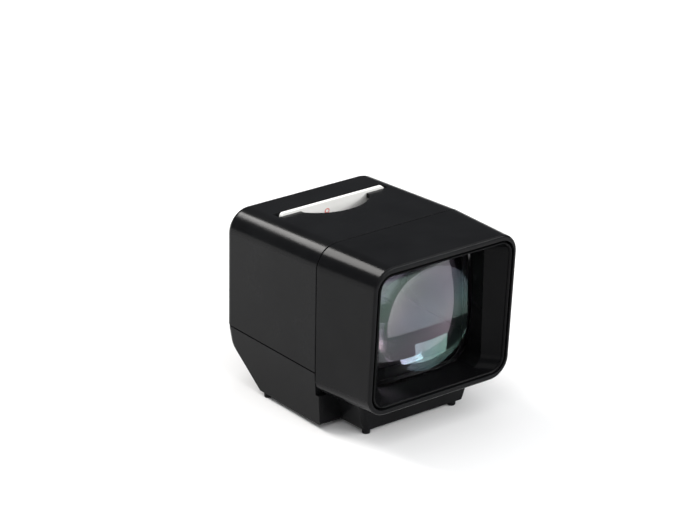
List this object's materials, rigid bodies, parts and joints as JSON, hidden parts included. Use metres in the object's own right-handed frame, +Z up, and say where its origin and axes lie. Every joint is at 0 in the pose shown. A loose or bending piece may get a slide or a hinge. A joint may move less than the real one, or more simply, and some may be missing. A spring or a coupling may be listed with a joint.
{
  "type": "slide viewer",
  "caption": "Tabletop viewer for mounted slides: black case with a square magnifier in a front hood, top slot with finger notch, sprung carrier and battery base.",
  "frame": {"origin": "centre of the bounding box on the table the feet stand on", "axes": "-Y out of the lens towards the viewer's eye, +X to the right seen from the front, +Z up"},
  "size_m": [0.073, 0.09, 0.0755],
  "materials": {
    "black_gloss": "gloss",
    "black_matte": "fine satin",
    "clear_lens": "polished clear acrylic",
    "white_plastic": "satin",
    "opal": "opal",
    "board_green": "solder mask",
    "lamp_epoxy": "clear epoxy",
    "resistor_tan": "lacquer",
    "steel": "nickel plated",
    "brass": "plain",
    "cell_jacket": "printed film, plain colour",
    "wire_red": "insulation",
    "wire_black": "insulation",
    "wire_white": "insulation",
    "film": "transparency"
  },
  "bodies": {
    "case": {"front_hood": "black_gloss", "lens_funnel": "black_gloss", "lens": "clear_lens", "lens_retainer": "black_matte", "rear_housing": "black_gloss", "finger_well": "black_gloss", "slide_gate": "black_matte", "switch_contacts": "brass", "diffuser": "opal", "light_box": "white_plastic", "led_board": "board_green", "led_lamps": "lamp_epoxy", "led_resistor": "resistor_tan", "chamber_floor": "black_matte", "base_tray": "black_gloss", "feet": "black_matte", "case_screws": "steel", "battery_front": "cell_jacket", "battery_rear": "cell_jacket", "battery_caps": "steel", "contact_link": "steel", "contact_plus": "steel", "contact_minus": "steel", "wire_red": "wire_red", "wire_black": "wire_black", "wire_switch": "wire_white", "carrier_spring_left": "steel", "carrier_spring_right": "steel"},
    "carrier": {"slide_carrier": "black_matte", "switch_bridge": "brass"},
    "slide": {"slide_mount": "white_plastic", "film_picture": "film"},
    "door": {"battery_door": "black_matte"}
  },
  "joints": [
    {"name": "carrier_press", "type": "slide", "parent": "case", "child": "carrier", "axis": [0, 0, -1], "range_m": [0, 0.0025], "stiffness_N_per_m": 500, "springref_m": -0.002, "deforming": ["carrier_spring_left", "carrier_spring_right"]},
    {"name": "slide_lift", "type": "slide", "parent": "carrier", "child": "slide", "axis": [0, 0, 1], "range_m": [0, 0.052]},
    {"name": "door_slide", "type": "slide", "parent": "case", "child": "door", "axis": [0, 1, 0], "range_m": [0, 0.036]}
  ]
}
